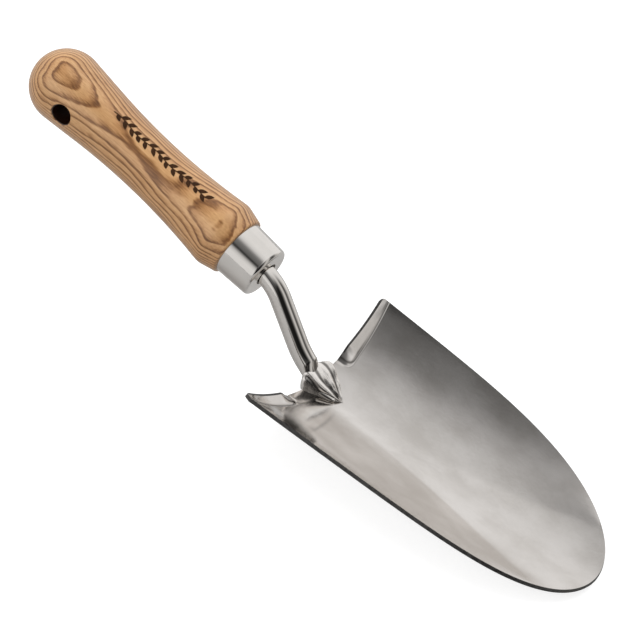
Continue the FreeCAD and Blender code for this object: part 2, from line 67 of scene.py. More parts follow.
class Recipe:
    """A procedural material while its nodes are being joined up."""

    def __init__(self, name, **shader):
        self.material = bpy.data.materials.new(name)
        self.material.use_nodes = True
        self.tree = self.material.node_tree
        self.shader = self.tree.nodes["Principled BSDF"]
        for socket, value in shader.items():
            self.shader.inputs[socket.replace("_", " ")].default_value = value
        self.place = self.node("ShaderNodeTexCoord").outputs["Object"]

    def node(self, kind, inputs=(), **settings):
        made = self.tree.nodes.new(kind)
        for key, value in settings.items():
            setattr(made, key, value)
        for key, value in dict(inputs).items():
            self.put(made.inputs[key], value)
        return made

    def put(self, socket, value):
        if isinstance(value, bpy.types.NodeSocket):
            self.tree.links.new(value, socket)
        else:
            socket.default_value = value

    def math(self, operation, a, b=0.0, c=0.0, clamp=False):
        made = self.node("ShaderNodeMath", {0: a, 1: b, 2: c}, operation=operation, use_clamp=clamp)
        return made.outputs[0]

    def tool_place(self):
        """Where the point is in the tool's own directions, in millimetres."""
        moved = self.node(
            "ShaderNodeMapping",
            {"Vector": self.place, "Location": -SHIFT, "Scale": (1000.0,) * 3},
        )
        turned = self.node(
            "ShaderNodeMapping", {"Vector": moved.outputs[0], "Rotation": (0.0, -TILT, 0.0)}
        )
        return turned.outputs[0]

    def groove(self):
        """How much shade is painted on the point, from 0 to 1, in the weld's grooves and the lip's
        crease.
        """
        return self.node("ShaderNodeAttribute", attribute_name="groove").outputs["Fac"]

    def stretch(self, vector, scale):
        return self.node("ShaderNodeMapping", {"Vector": vector, "Scale": scale}).outputs[0]

    def noise(self, vector, scale=1.0, detail=2.0, roughness=0.5):
        made = self.node(
            "ShaderNodeTexNoise",
            {"Vector": vector, "Scale": scale, "Detail": detail, "Roughness": roughness},
        )
        return made.outputs["Fac"]

    def ramp(self, factor, stops, interpolation="EASE"):
        made = self.node("ShaderNodeValToRGB", {"Fac": factor})
        made.color_ramp.interpolation = interpolation
        elements = made.color_ramp.elements
        while len(elements) < len(stops):
            elements.new(0.5)
        for element, (position, colour) in zip(elements, stops):
            element.position = position
            rgb = colour if isinstance(colour, tuple) else (colour,) * 3
            element.color = (*rgb, 1.0)
        return made.outputs["Color"]

    def range(self, value, low, high, to_low=0.0, to_high=1.0):
        made = self.node("ShaderNodeMapRange", {0: value, 1: low, 2: high, 3: to_low, 4: to_high})
        return made.outputs["Result"]

    def blend(self, factor, a, b, kind="MIX"):
        made = self.node("ShaderNodeMix", data_type="RGBA", blend_type=kind)
        for socket, value in zip((made.inputs[0], made.inputs[6], made.inputs[7]), (factor, a, b)):
            if isinstance(value, tuple):
                value = (*value, 1.0)
            self.put(socket, value)
        return made.outputs[2]

    def finish(self, colour=None, roughness=None, height=None, bump=0.2, deep=0.05):
        if colour is not None:
            self.put(self.shader.inputs["Base Color"], colour)
        if roughness is not None:
            self.put(self.shader.inputs["Roughness"], roughness)
        if height is not None:
            made = self.node(
                "ShaderNodeBump", {"Height": height, "Strength": bump, "Distance": deep * MM}
            )
            self.put(self.shader.inputs["Normal"], made.outputs[0])
        return self.material


# The hanging hole's place along the handle and its radius, and the handle's front end, which the
# ferrule covers. Shade is painted into the wood inside the one and in front of the other.
HOLE_PLACE = -92.5
HOLE_RADIUS = 4.6
COVERED_END = (12.0, 14.0)
# The growth layers' direction across the handle, how far they curve, and one year's growth.
LAYER_ACROSS, LAYER_UP = -0.64, 0.77
LAYER_CURVE = 0.010
YEAR_WIDTH = 1.38
# The near-black colour painted as shade into the wood inside the hanging hole and under the
# ferrule.
PAINTED_SHADE_WOOD = (0.022, 0.007, 0.003)


def ash_material():
    """Turned ash under a satin lacquer: nearly flat growth layers, cut by the turned shape."""
    wood = Recipe("ash_wood", Coat_Weight=0.6, Coat_Roughness=0.2)
    place = wood.tool_place()
    axes = wood.node("ShaderNodeSeparateXYZ", {0: place}).outputs
    along, across, up = axes
    layer = wood.math("MULTIPLY_ADD", across, LAYER_ACROSS, wood.math("MULTIPLY", up, LAYER_UP))
    beside = wood.math("MULTIPLY_ADD", across, LAYER_UP, wood.math("MULTIPLY", up, -LAYER_ACROSS))
    layer = wood.math("MULTIPLY_ADD", along, 0.008, layer)
    curve = wood.math("POWER", wood.math("ABSOLUTE", beside), 2.0)
    layer = wood.math("MULTIPLY_ADD", curve, LAYER_CURVE, layer)
    slow = wood.noise(wood.stretch(place, (0.016, 0.06, 0.06)), 1.0, 2.0)
    layer = wood.math("MULTIPLY_ADD", slow, 5.0, layer)
    wave = wood.noise(wood.stretch(place, (0.06, 0.25, 0.25)), 1.0, 2.0)
    layer = wood.math("MULTIPLY_ADD", wave, 0.9, layer)
    year = wood.math("FRACT", wood.math("DIVIDE", layer, YEAR_WIDTH))
    ring = wood.ramp(
        year,
        [(0.0, 0.15), (0.10, 0.0), (0.26, 0.45), (0.50, 0.85), (0.88, 1.0), (1.0, 0.15)],
        "LINEAR",
    )
    pores = wood.noise(wood.stretch(place, (0.10, 3.2, 3.2)), 1.0, 3.0, 0.6)
    fine = wood.noise(wood.stretch(place, (0.25, 7.0, 7.0)), 1.0, 2.0, 0.6)
    patches = wood.noise(wood.stretch(place, (0.05, 0.12, 0.12)), 1.0, 2.0)
    shade = wood.math("MULTIPLY", ring, 0.75)
    shade = wood.math("MULTIPLY_ADD", wood.range(pores, 0.3, 0.7), 0.5, shade)
    shade = wood.math("MULTIPLY_ADD", wood.range(fine, 0.3, 0.7), 0.18, shade)
    shade = wood.math("MULTIPLY_ADD", patches, 0.5, shade)
    shade = wood.range(shade, 0.35, 1.55)
    colour = wood.ramp(
        shade,
        [
            (0.0, (0.115, 0.040, 0.010)),
            (0.30, (0.27, 0.115, 0.034)),
            (0.60, (0.53, 0.27, 0.105)),
            (1.0, (0.72, 0.43, 0.20)),
        ],
        "LINEAR",
    )
    # Painted shade: the wood is blended to near black inside the hanging hole and in front of the
    # covered end.
    beside_hole = wood.node("ShaderNodeCombineXYZ", {0: along, 2: up}).outputs[0]
    from_hole = wood.node(
        "ShaderNodeVectorMath", {0: beside_hole, 1: (HOLE_PLACE, 0.0, 0.0)}, operation="DISTANCE"
    ).outputs["Value"]
    lit = wood.range(from_hole, HOLE_RADIUS + 0.1, HOLE_RADIUS + 0.5)
    lit = wood.math("MULTIPLY", lit, wood.range(along, *COVERED_END, 1.0, 0.0))
    colour = wood.blend(lit, PAINTED_SHADE_WOOD, colour)
    rough = wood.range(shade, 0.0, 1.0, 0.46, 0.34)
    return wood.finish(colour, rough, shade, bump=0.25, deep=0.06)


def burnt_material():
    """The wood where the mark is burnt in."""
    burnt = Recipe("burnt_ash", Specular_IOR_Level=0.15)
    place = burnt.tool_place()
    grain = burnt.noise(burnt.stretch(place, (0.3, 5.0, 5.0)), 1.0, 3.0, 0.6)
    colour = burnt.ramp(grain, [(0.3, (0.020, 0.009, 0.004)), (0.75, (0.075, 0.032, 0.012))])
    return burnt.finish(colour, burnt.range(grain, 0.3, 0.7, 0.6, 0.8), grain, 0.3, 0.05)


MIRROR_TINT = (0.84, 0.805, 0.765)
WELD_TINT = (0.96, 0.92, 0.88)
# The near-black colour painted as shade into the weld's grooves and the lip's crease, and the most
# roughness that the blade's satin has.
PAINTED_SHADE_GREY = (0.075, 0.068, 0.060)
SATIN_ROUGHNESS = 0.265
# The blade's roughness at two places along it: buffed at the rear and worn at the nose.
BUFFED_PLACE, BUFFED_ROUGHNESS = 60.0, 0.11
WORN_PLACE, WORN_ROUGHNESS = 180.0, 0.25


def polished_steel(name, tint, low, high, ripple=0.0):
    """Stainless steel buffed to a mirror, with faint marks of the buffing. The roughness goes
    from low to high. A ripple above zero also waves the surface and paints shade into its grooves."""
    steel = Recipe(name, Metallic=1.0)
    place = steel.tool_place()
    buffed = steel.noise(steel.stretch(place, (0.35, 1.6, 1.6)), 1.0, 3.0, 0.55)
    smudges = steel.noise(steel.stretch(place, (0.08, 0.12, 0.12)), 1.0, 2.0)
    colour = steel.blend(steel.range(smudges, 0.3, 0.7), tint, tuple(0.93 * part for part in tint))
    rough = steel.range(buffed, 0.3, 0.7, low, high)
    if not ripple:
        return steel.finish(colour, rough, buffed, 0.12, 0.02)
    waves = steel.noise(steel.stretch(place, (0.55, 0.8, 0.8)), 1.0, 2.0)
    # Painted shade: the weld's grooves are blended towards near-black grey.
    colour = steel.blend(steel.groove(), colour, PAINTED_SHADE_GREY)
    return steel.finish(colour, rough, waves, ripple, 0.6)


def brushed_blade():
    """The blade: rolled stainless sheet, satin, with brush marks along it."""
    steel = Recipe("satin_blade_steel", Metallic=1.0, Anisotropic=0.35)
    place = steel.tool_place()
    brushing = steel.noise(steel.stretch(place, (0.03, 3.0, 3.0)), 1.0, 4.0, 0.65)
    clouds = steel.noise(steel.stretch(place, (0.045, 0.07, 0.07)), 1.0, 3.0, 0.5)
    shade = steel.math("MULTIPLY_ADD", clouds, 0.7, steel.math("MULTIPLY", brushing, 0.3))
    colour = steel.ramp(shade, [(0.32, (0.66, 0.625, 0.59)), (0.68, (0.82, 0.785, 0.755))])
    along = steel.node("ShaderNodeSeparateXYZ", {0: place}).outputs[0]
    worn = steel.range(along, BUFFED_PLACE, WORN_PLACE, BUFFED_ROUGHNESS, WORN_ROUGHNESS)
    rough = steel.math("MULTIPLY_ADD", steel.math("SUBTRACT", shade, 0.5), 0.15, worn)
    rough = steel.math("MINIMUM", rough, SATIN_ROUGHNESS)
    # Painted shade: the lip's crease is blended towards near-black grey.
    colour = steel.blend(steel.groove(), colour, PAINTED_SHADE_GREY)
    return steel.finish(colour, rough, brushing, 0.35, 0.006)


def edge_shade_steel():
    """The cut edge of the sheet, which isn't polished. Its near-black colour is painted shade, and
    it also covers a thin strip of the lip's inside.
    """
    steel = Recipe("painted_shade_edge_steel", Metallic=1.0)
    place = steel.tool_place()
    torn = steel.noise(steel.stretch(place, (0.9, 0.9, 0.9)), 1.0, 4.0, 0.7)
    colour = steel.ramp(torn, [(0.3, (0.070, 0.068, 0.066)), (0.7, (0.16, 0.155, 0.15))])
    return steel.finish(colour, steel.range(torn, 0.3, 0.7, 0.35, 0.6), torn, 0.3, 0.05)


def adhesive_material():
    """Dark cured resin, a little lumpy."""
    resin = Recipe("cured_adhesive")
    lumps = resin.noise(resin.tool_place(), 0.8, 2.0)
    colour = resin.ramp(lumps, [(0.3, (0.020, 0.014, 0.010)), (0.7, (0.045, 0.032, 0.022))])
    return resin.finish(colour, resin.range(lumps, 0.3, 0.7, 0.4, 0.6), lumps, 0.2, 0.1)


def floor_material():
    """The pale floor, which also glows where the camera sees it."""
    floor = Recipe("pale_floor", Roughness=0.6, Specular_IOR_Level=0.1)
    mottle = floor.noise(floor.place, 3.0, 2.0)
    colour = floor.ramp(mottle, [(0.3, 0.48), (0.7, 0.49)])
    seen = floor.node("ShaderNodeLightPath").outputs["Is Camera Ray"]
    floor.shader.inputs["Emission Color"].default_value = (1.0, 1.0, 1.0, 1.0)
    floor.put(floor.shader.inputs["Emission Strength"], floor.math("MULTIPLY", seen, FLOOR_GLOW))
    return floor.finish(colour)


# ---------------------------------------------------------------- mesh helpers


def make_piece(name, points, faces, material, replaces=(), rim=(), grooves=()):
    """A smooth-shaded piece of the trowel, from points in metres in the row frame. The faces
    whose numbers are in rim take the piece's second material. Each point's painted shade in a
    groove or crease, from 0 to 1, is kept on the mesh for the material to read."""
    mesh = bpy.data.meshes.new(name)
    mesh.from_pydata([tuple(point) for point in points], [], faces)
    if grooves:
        mesh.attributes.new("groove", "FLOAT", "POINT").data.foreach_set("value", grooves)
    for number in rim:
        mesh.polygons[number].material_index = 1
    work = bmesh.new()
    work.from_mesh(mesh)
    bmesh.ops.remove_doubles(work, verts=work.verts, dist=0.0002 * MM)
    bmesh.ops.recalc_face_normals(work, faces=work.faces)
    work.to_mesh(mesh)
    work.free()
    mesh.shade_smooth()
    mesh.set_sharp_from_angle(angle=math.radians(40))
    piece = bpy.data.objects.new(name, mesh)
    bpy.context.scene.collection.objects.link(piece)
    mesh.materials.append(material)
    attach(piece, "root")
    if replaces:
        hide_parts(*replaces)
    return piece


def loft(rings, cap_start=True, cap_end=True):
    """Points and faces of a tube through rings that have the same number of points."""
    count = len(rings[0])
    points = [point for ring in rings for point in ring]
    faces = []
    for row in range(len(rings) - 1):
        for step in range(count):
            after = (step + 1) % count
            low, high = row * count, (row + 1) * count
            faces.append((low + step, low + after, high + after, high + step))
    if cap_start:
        faces.append(tuple(range(count)))
    if cap_end:
        faces.append(tuple(range(len(points) - count, len(points))))
    return points, faces


# ---------------------------------------------------------------- blade

HEEL = Vector((55.5, 0.0, -29.5))
BLADE_LENGTH = 149.4
BLADE_HALF_WIDTH = 48.45
SIDE_TAPER = 0.042
NOSE_POWER = 4.5
NOSE_RISE = 4.0
NOSE_RISE_POWER = 6.0
SECTION_RADIUS = 68.0
SHEET = 1.6
# The rear edge: how far its middle and its ears are swept, and how round the ears are.
REAR_SWEEP = 2.9
EAR_SWEEP = 1.36
EAR_ROUND = 1.8
# How far the near-black painted shade of the cut edge reaches onto the lip's inside from the rear
# edge.
SHADED_LIP_EDGE = 0.7
# The lip, which is the rear edge turned in on both sides of the throat, with a crease round it.
THROAT_HALF_WIDTH = 17.5
LIP_THROAT_RISE = 2.7
LIP_EAR_RISE = 0.9
LIP_THROAT_WIDTH = 6.4
LIP_EAR_WIDTH = 3.2
LIP_BEND = 0.6
LIP_ROUND = 3.0
LIP_END = 8.0
CREASE = 0.30
CREASE_WIDTH = 0.55
# How dark the shade painted along the lip's crease is.
CREASE_SHADE = 0.9
EAR_CREASE = 0.5
# The fuller sides: where they start along and aside, how the start spreads, and how full they are.
FULL_PLACE, FULL_ASIDE = 31.0, 3.5
FULL_SPREAD, FULL_CURVE = 0.088, 0.0012
FULLNESS = 0.150
FULL_SOFTNESS = 1.2
# The sheet isn't quite even: how much, and how often along and across.
UNEVENNESS = 0.045
UNEVEN_ALONG, UNEVEN_ACROSS = 0.03, 0.05
UNEVEN_LIFT = 0.6
# The mesh: close rows over the lip, then rows to the nose.
FINE_REACH = 10.0
FINE_ROWS = 48
BODY_ROWS = 110
BLADE_COLUMNS = 220
# The small steps over which the sheet's slope is measured.
STEP_ALONG = 0.005
STEP_ASIDE = 0.0005


def on_blade(u, v, w):
    """A point in the blade's directions, which are the row's, with zero at the heel."""
    return lay(HEEL) + Vector((u, v, w)) * MM


def blade_half_width(along):
    """Half the blade's width, with the nose and the ears rounded."""
    nose = math.sqrt(max(1 - (along / BLADE_LENGTH) ** NOSE_POWER, 0))
    short = max(EAR_ROUND - along, 0)
    ear = EAR_ROUND - math.sqrt(EAR_ROUND**2 - short**2)
    return (BLADE_HALF_WIDTH - SIDE_TAPER * along) * nose - ear


def fullness(along, across):
    """How much the scoop's sides stand fuller than a round trough, from a soft crease outwards."""
    ahead = along - FULL_PLACE
    start = FULL_ASIDE + FULL_SPREAD * ahead + FULL_CURVE * ahead**2
    reach = blade_half_width(along) - start
    if reach <= 0:
        return 0.0
    beyond = abs(across) - start
    share = min((beyond + math.sqrt(beyond**2 + FULL_SOFTNESS**2)) / 2 / reach, 1)
    return FULLNESS * share * (1 - share) * reach


def trough_height(along, across):
    """The height of the scoop's inside over its bottom line."""
    return SECTION_RADIUS - math.sqrt(SECTION_RADIUS**2 - across**2) + fullness(along, across)


def past_throat(across):
    """How far a point is past the throat's side, and as a share of the way to the ear."""
    past = abs(across) - THROAT_HALF_WIDTH
    return past, min(max(past / (BLADE_HALF_WIDTH - THROAT_HALF_WIDTH), 0), 1)


def lip_crease(along, across):
    """The crease along the lip's bend and round the lip's end beside the throat, from 0 to 1."""
    past, to_ear = past_throat(across)
    inside = mix(LIP_THROAT_WIDTH, LIP_EAR_WIDTH, to_ear) - along
    short = (LIP_ROUND - past, LIP_ROUND - inside)
    off = LIP_ROUND - math.hypot(max(short[0], 0), max(short[1], 0)) - min(max(short), 0)
    return mix(1.0, EAR_CREASE, to_ear) * math.exp(-((off / CREASE_WIDTH) ** 2))


def lip_height(along, across):
    """How far the rear edge is turned in, on both sides of the neck."""
    past, to_ear = past_throat(across)
    width = mix(LIP_THROAT_WIDTH, LIP_EAR_WIDTH, to_ear)
    slope = mix(LIP_THROAT_RISE, LIP_EAR_RISE, to_ear**3) / width
    inside = width - along
    bend = slope * (inside + math.sqrt(inside**2 + LIP_BEND**2)) / 2
    return bend * smooth(past / LIP_END) - CREASE * lip_crease(along, across)


def blade_point(along, side):
    """A point of the scoop's inside, along from the rear edge, and side from -1 to 1 across."""
    angle = side * math.asin(blade_half_width(along) / SECTION_RADIUS)
    sweep = REAR_SWEEP * (1 - EAR_SWEEP * side**2)
    across = SECTION_RADIUS * math.sin(angle)
    u = along + sweep * (1 - along / BLADE_LENGTH) ** 2
    reach = SECTION_RADIUS - lip_height(along, across)
    up = NOSE_RISE * (along / BLADE_LENGTH) ** NOSE_RISE_POWER + fullness(along, across)
    uneven = noise.noise(Vector((along * UNEVEN_ALONG, across * UNEVEN_ACROSS, 0.0)))
    up += UNEVENNESS * (uneven + UNEVEN_LIFT)
    return Vector((u, reach * math.sin(angle), up + SECTION_RADIUS - reach * math.cos(angle)))


def sheet_point(along, side, depth):
    """A point of the sheet, depth below the scoop's inside."""
    point = blade_point(along, side)
    if along >= BLADE_LENGTH:
        slope = NOSE_RISE * NOSE_RISE_POWER / BLADE_LENGTH
        return point + Vector((slope, 0, -1)).normalized() * depth
    ahead = blade_point(along + STEP_ALONG, side) - point
    across = blade_point(along, side + STEP_ASIDE) - blade_point(along, side - STEP_ASIDE)
    return point - ahead.cross(across).normalized() * depth


def make_blade(material, edge_material):
    """The blade as one closed sheet: rings round its section from the rear edge to the nose.
    The rings are closest together at the lip and at the nose."""
    rows = [FINE_REACH * row / FINE_ROWS for row in range(FINE_ROWS)]
    start = math.asin(FINE_REACH / BLADE_LENGTH)
    for row in range(BODY_ROWS + 1):
        rows.append(BLADE_LENGTH * math.sin(mix(start, math.pi / 2, row / BODY_ROWS)))
    rows[-1] = BLADE_LENGTH
    columns = BLADE_COLUMNS
    sides = [2 * column / columns - 1 for column in range(columns + 1)]
    rings = []
    for along in rows:
        inside = [on_blade(*sheet_point(along, side, 0)) for side in sides]
        outside = [on_blade(*sheet_point(along, side, SHEET)) for side in reversed(sides)]
        rings.append(inside + outside)
    points, faces = loft(rings, cap_start=False, cap_end=False)
    # Painted shade along the lip's crease on the inside points; none on the outside.
    grooves = []
    for along in rows:
        for side in sides:
            grooves.append(CREASE_SHADE * lip_crease(along, side * blade_half_width(along)))
        grooves += [0.0] * len(sides)
    count = 2 * (columns + 1)
    # The rim faces take the near-black edge material as painted shade: the sheet's cut edges, and a
    # strip of the lip's inside at the rear edge.
    rim = []
    for number in range(len(faces)):
        row, step = divmod(number, count)
        on_lip = step < columns and abs(sides[step]) * BLADE_HALF_WIDTH > THROAT_HALF_WIDTH + 2
        if step in (columns, count - 1) or (on_lip and rows[row] < SHADED_LIP_EDGE):
            rim.append(number)
    for step in range(columns):
        rim.append(len(faces))
        faces.append((step, step + 1, count - 2 - step, count - 1 - step))
    piece = make_piece(
        "blade_sheet", points, faces, material, ["blade"], rim, grooves
    )
    piece.data.materials.append(edge_material)


# ---------------------------------------------------------------- neck

NECK_RADIUS = 4.6
NECK_SLOPE = math.radians(37)
UPPER_BEND = 22.0
LOWER_BEND = 33.0
BEND_CORNER = 21.5
NECK_REACH = 42.3
TONGUE_START = math.radians(20)
# The straight part's places and radii: the tang, a shoulder, and the start of the neck.
TANG = ((-68.0, 2.6), (-40.0, 3.05), (-10.0, 3.55), (5.2, 3.8), (6.0, 4.6), (9.0, 4.6))
# The tongue in the blade's directions: u, w, half width, half thickness, slope.
TONGUE = (
    (4.65, 3.2, 4.4, 2.5, -0.6 * TILT),
    (10.5, 1.67, 3.4, 1.62, -TILT),
    (15.0, 0.81, 1.6, 0.76, -TILT),
)
TONGUE_TIP = 1.1
UPPER_STEPS, LOWER_STEPS, TONGUE_STEPS, TIP_STEPS = 24, 12, 12, 4
NECK_SIDES = 64


def between(before, a, b, after, t):
    """A value on the smooth curve that goes from a to b, with the values before and after them."""
    bend = (2 * before - 5 * a + 4 * b - after) * t * t + (3 * a - before - 3 * b + after) * t**3
    return 0.5 * (2 * a + (b - before) * t + bend)


def neck_sections():
    """The neck's sections: place, slope, half width and half thickness, from the tang forward."""
    sections = [((x, 0.0), 0.0, radius, radius) for x, radius in TANG]
    turn_in = BEND_CORNER - UPPER_BEND * math.tan(NECK_SLOPE / 2)
    for step in range(UPPER_STEPS + 1):
        slope = NECK_SLOPE * step / UPPER_STEPS
        place = (turn_in + UPPER_BEND * math.sin(slope), -UPPER_BEND * (1 - math.cos(slope)))
        sections.append((place, slope, NECK_RADIUS, NECK_RADIUS))
    cos, sin = math.cos(NECK_SLOPE), math.sin(NECK_SLOPE)
    corner = (BEND_CORNER + NECK_REACH * cos, -NECK_REACH * sin)
    back = LOWER_BEND * math.tan((NECK_SLOPE + TILT) / 2)
    centre = (corner[0] - back * cos + LOWER_BEND * sin, corner[1] + back * sin + LOWER_BEND * cos)
    for step in range(LOWER_STEPS + 1):
        slope = mix(NECK_SLOPE, TONGUE_START, step / LOWER_STEPS)
        place = (centre[0] - LOWER_BEND * math.sin(slope), centre[1] - LOWER_BEND * math.cos(slope))
        sections.append((place, slope, NECK_RADIUS, NECK_RADIUS))
    # The tongue, beaten flat and drawn to a rounded point on the blade.
    keys = [(*place, slope, NECK_RADIUS, NECK_RADIUS)]
    for u, height, half_a, half_b, lean in TONGUE:
        x = HEEL.x + u * math.cos(TILT) - height * math.sin(TILT)
        z = HEEL.z + u * math.sin(TILT) + height * math.cos(TILT)
        keys.append((x, z, lean, half_a, half_b))
    for number in range(len(keys) - 1):
        before, a, b = keys[max(number - 1, 0)], keys[number], keys[number + 1]
        after = keys[min(number + 2, len(keys) - 1)]
        for step in range(1, TONGUE_STEPS + 1):
            t = step / TONGUE_STEPS
            x, z, slope, half_a, half_b = (
                between(*values, t) for values in zip(before, a, b, after)
            )
            sections.append(((x, z), slope, half_a, half_b))
    for step in range(1, TIP_STEPS + 1):
        turn = step / TIP_STEPS * math.pi / 2 * 0.97
        reach = TONGUE_TIP * math.sin(turn)
        place = (x + reach * math.cos(slope), z - reach * math.sin(slope))
        sections.append((place, slope, half_a * math.cos(turn), half_b * math.cos(turn)))
    return sections


def make_neck(material):
    """The neck with its tang and its tongue, as one bar through its sections."""
    rings = []
    for (x, z), slope, half_a, half_b in neck_sections():
        ring = []
        for step in range(NECK_SIDES):
            turn = 2 * math.pi * step / NECK_SIDES
            out, aside = half_b * math.cos(turn), half_a * math.sin(turn)
            ring.append(lay((x + out * math.sin(slope), aside, z + out * math.cos(slope))))
        rings.append(ring)
    points, faces = loft(rings)
    return make_piece("neck_bar", points, faces, material, ["neck"])


# ---------------------------------------------------------------- weld

# The weld's place and size in the blade's directions. It reaches further to the far side of the
# neck, and is highest at the rear.
WELD_START = 1.7
WELD_LENGTH = 16.8
WELD_HALF_WIDTH = 8.7
WELD_TIP_HALF_WIDTH = 0.35
WELD_ASIDE = 2.8
WELD_TIP_ASIDE = 2.0
WELD_CROWN = 10.8
WELD_REAR = 0.18
WELD_LEAN = 0.50
WELD_BOW = 2.4
WELD_TURN = math.radians(88.2)
# How fast it falls away beside the neck and on the other side.
NEAR_FALL, FAR_FALL = 0.36, 0.75
# Its ridges, their number, how deep they and the lumps are, and how dark the shade painted in the
# grooves is.
RIPPLES = 3.6
RIPPLE = 0.42
LUMP = 0.5
GROOVE_SHADE = 0.8
# How far the weld's bottom is sunk into the sheet, and how far its top stands clear of it.
WELD_SUNK, WELD_CLEAR = 0.3, 0.02
WELD_ROWS, WELD_COLUMNS = 90, 110


def weld_lines(s, turn):
    """The weld's ridges, from -1 in the grooves to 1 on the crests: chevrons towards the nose."""
    uneven = noise.noise(Vector((s * 4.0, turn * 1.1, 3.0)))
    return math.cos(2 * RIPPLES * (abs(turn) + 0.16 * uneven) + 0.4 * math.sin(s * 9.0))


def weld_point(s, turn):
    """A point of the weld, s of the way along it and turned so far from its crest: steep beside
    the neck and gentle on the other side, with its rear face leaning back under the neck. It
    gives u and v on the sheet, then u as it leans, then the height over the sheet."""
    t = math.sin(turn)
    crown = WELD_CROWN * (1 - s) * math.sqrt(1 - max(1 - s / WELD_REAR, 0) ** 2)
    height = crown * max(math.cos(turn), 0) ** mix(NEAR_FALL, FAR_FALL, (t + 1) / 2)
    lumps = noise.noise(Vector((s * 4.5, t * 1.8, 7.0)))
    proud = (RIPPLE * weld_lines(s, turn) + LUMP * lumps) * smooth(crown) * smooth(height)
    height += proud * math.cos(turn)
    half = WELD_HALF_WIDTH * (1 - s**1.5) + WELD_TIP_HALF_WIDTH
    v = mix(WELD_ASIDE, WELD_TIP_ASIDE, s) + (half + proud) * t
    far = max(t, 0) ** 2
    u = WELD_START + s * WELD_LENGTH + WELD_BOW * far * (1 - s) ** 2
    lean = WELD_LEAN * (1 - far) * (1 - s) ** 3
    return u, v, u - lean * height, height


def make_weld(material):
    """The weld that the tongue sinks into: an arrowhead of ripples, ground and polished."""
    rings, grooves = [], []
    for row in range(WELD_ROWS + 1):
        s = row / WELD_ROWS
        upper, lower = [], []
        for column in range(WELD_COLUMNS + 1):
            turn = WELD_TURN * (2 * column / WELD_COLUMNS - 1)
            u, v, leaning, height = weld_point(s, turn)
            floor = trough_height(u, v)
            upper.append(on_blade(leaning, v, floor + WELD_CLEAR + height))
            lower.append(on_blade(u, v, floor - WELD_SUNK))
            # Painted shade in the grooves between the ridges, fading out at both ends of the weld.
            deep = smooth(-1.8 * weld_lines(s, turn) - 0.8)
            grooves.append(GROOVE_SHADE * deep * smooth(s * 6) * smooth((1 - s) * 5))
        rings.append(upper + lower[::-1])
        grooves += [0.0] * len(lower)
    points, faces = loft(rings, cap_start=False, cap_end=False)
    count = 2 * (WELD_COLUMNS + 1)
    for base in (0, WELD_ROWS * count):
        last = base + count - 1
        for step in range(WELD_COLUMNS):
            faces.append((base + step, base + step + 1, last - 1 - step, last - step))
    return make_piece(
        "weld_ripples", points, faces, material, ["weld_bead"], grooves=grooves
    )


# ---------------------------------------------------------------- mark on the handle

# The handle's hollow, as the CAD has it, and how far round it the mark is.
WAIST_PLACE = -52.0
WAIST_RADIUS = 12.9
HOLLOW_RADIUS = 318.0
MARK_ANGLE = math.radians(19.5)
# The sprig's ends, and how far it stands out of the wood and is sunk into it.
SPRIG_FIRST, SPRIG_LAST = -76.0, -21.0
MARK_LIFT, MARK_SUNK = 0.05, 0.2
STEM_HALF_WIDTH = 0.26
STEM_WAVE, STEM_WAVES = 0.45, 0.32
LEAF_PAIRS = 13
LEAF_HALF_WIDTH = 0.95
LEAF_REACH = 3.9
LEAF_LEAN = 38.0
LEAF_STAGGER = 1.1


def on_handle(x, aside, lift):
    """A point on the handle's hollow, at x and aside from the mark's middle line."""
    radius = WAIST_RADIUS + HOLLOW_RADIUS - math.sqrt(HOLLOW_RADIUS**2 - (x - WAIST_PLACE) ** 2)
    turn = MARK_ANGLE - aside / radius
    reach = radius + lift
    return lay((x, -reach * math.sin(turn), reach * math.cos(turn)))


def patch_rings(outline, lengthwise, crosswise):
    """The rings of a thin patch in the handle's surface: outline(s) gives its middle, its half
    width and its crossways direction, s of the way along it."""
    rings = []
    for row in range(lengthwise + 1):
        (x, aside), half, (cx, cy) = outline(row / lengthwise)
        reaches = [half * (2 * column / crosswise - 1) for column in range(crosswise + 1)]
        over = [on_handle(x + cx * reach, aside + cy * reach, MARK_LIFT) for reach in reaches]
        reaches.reverse()
        under = [on_handle(x + cx * reach, aside + cy * reach, -MARK_SUNK) for reach in reaches]
        rings.append(over + under)
    return rings


def stem_aside(x):
    """How far the wavy stem is from the mark's middle line."""
    return STEM_WAVE * math.sin((x - SPRIG_FIRST) * STEM_WAVES)


def stem_outline(s):
    x = mix(SPRIG_FIRST, SPRIG_LAST, s)
    return (x, stem_aside(x)), STEM_HALF_WIDTH, (0.0, 1.0)


def leaf_outline(number, hand):
    """The outline of one leaf of a pair, on the side that hand gives."""
    start = mix(SPRIG_FIRST + 3, SPRIG_LAST - 2, number / (LEAF_PAIRS - 1)) + hand * LEAF_STAGGER
    lean = math.radians(LEAF_LEAN + 6 * math.sin(number * 2.1 + hand))
    reach = LEAF_REACH + 0.5 * math.sin(number * 1.7 + hand)
    heading = (math.cos(lean), hand * math.sin(lean))

    def outline(s):
        middle = (start + heading[0] * reach * s, stem_aside(start) + heading[1] * reach * s)
        half = LEAF_HALF_WIDTH * math.sin(math.pi * s**0.8) ** 0.9 + 0.02
        return middle, half, (-heading[1], heading[0])

    return outline


def make_mark(material):
    """A leafy sprig burnt along the handle: a wavy stem with leaves on both sides."""
    patches = [patch_rings(stem_outline, 70, 2)]
    for number in range(LEAF_PAIRS):
        for hand in (-1, 1):
            patches.append(patch_rings(leaf_outline(number, hand), 10, 4))
    points, faces = [], []
    for rings in patches:
        more_points, more_faces = loft(rings)
        faces.extend(tuple(len(points) + number for number in face) for face in more_faces)
        points.extend(more_points)
    return make_piece("burnt_sprig", points, faces, material)


# ---------------------------------------------------------------- stage

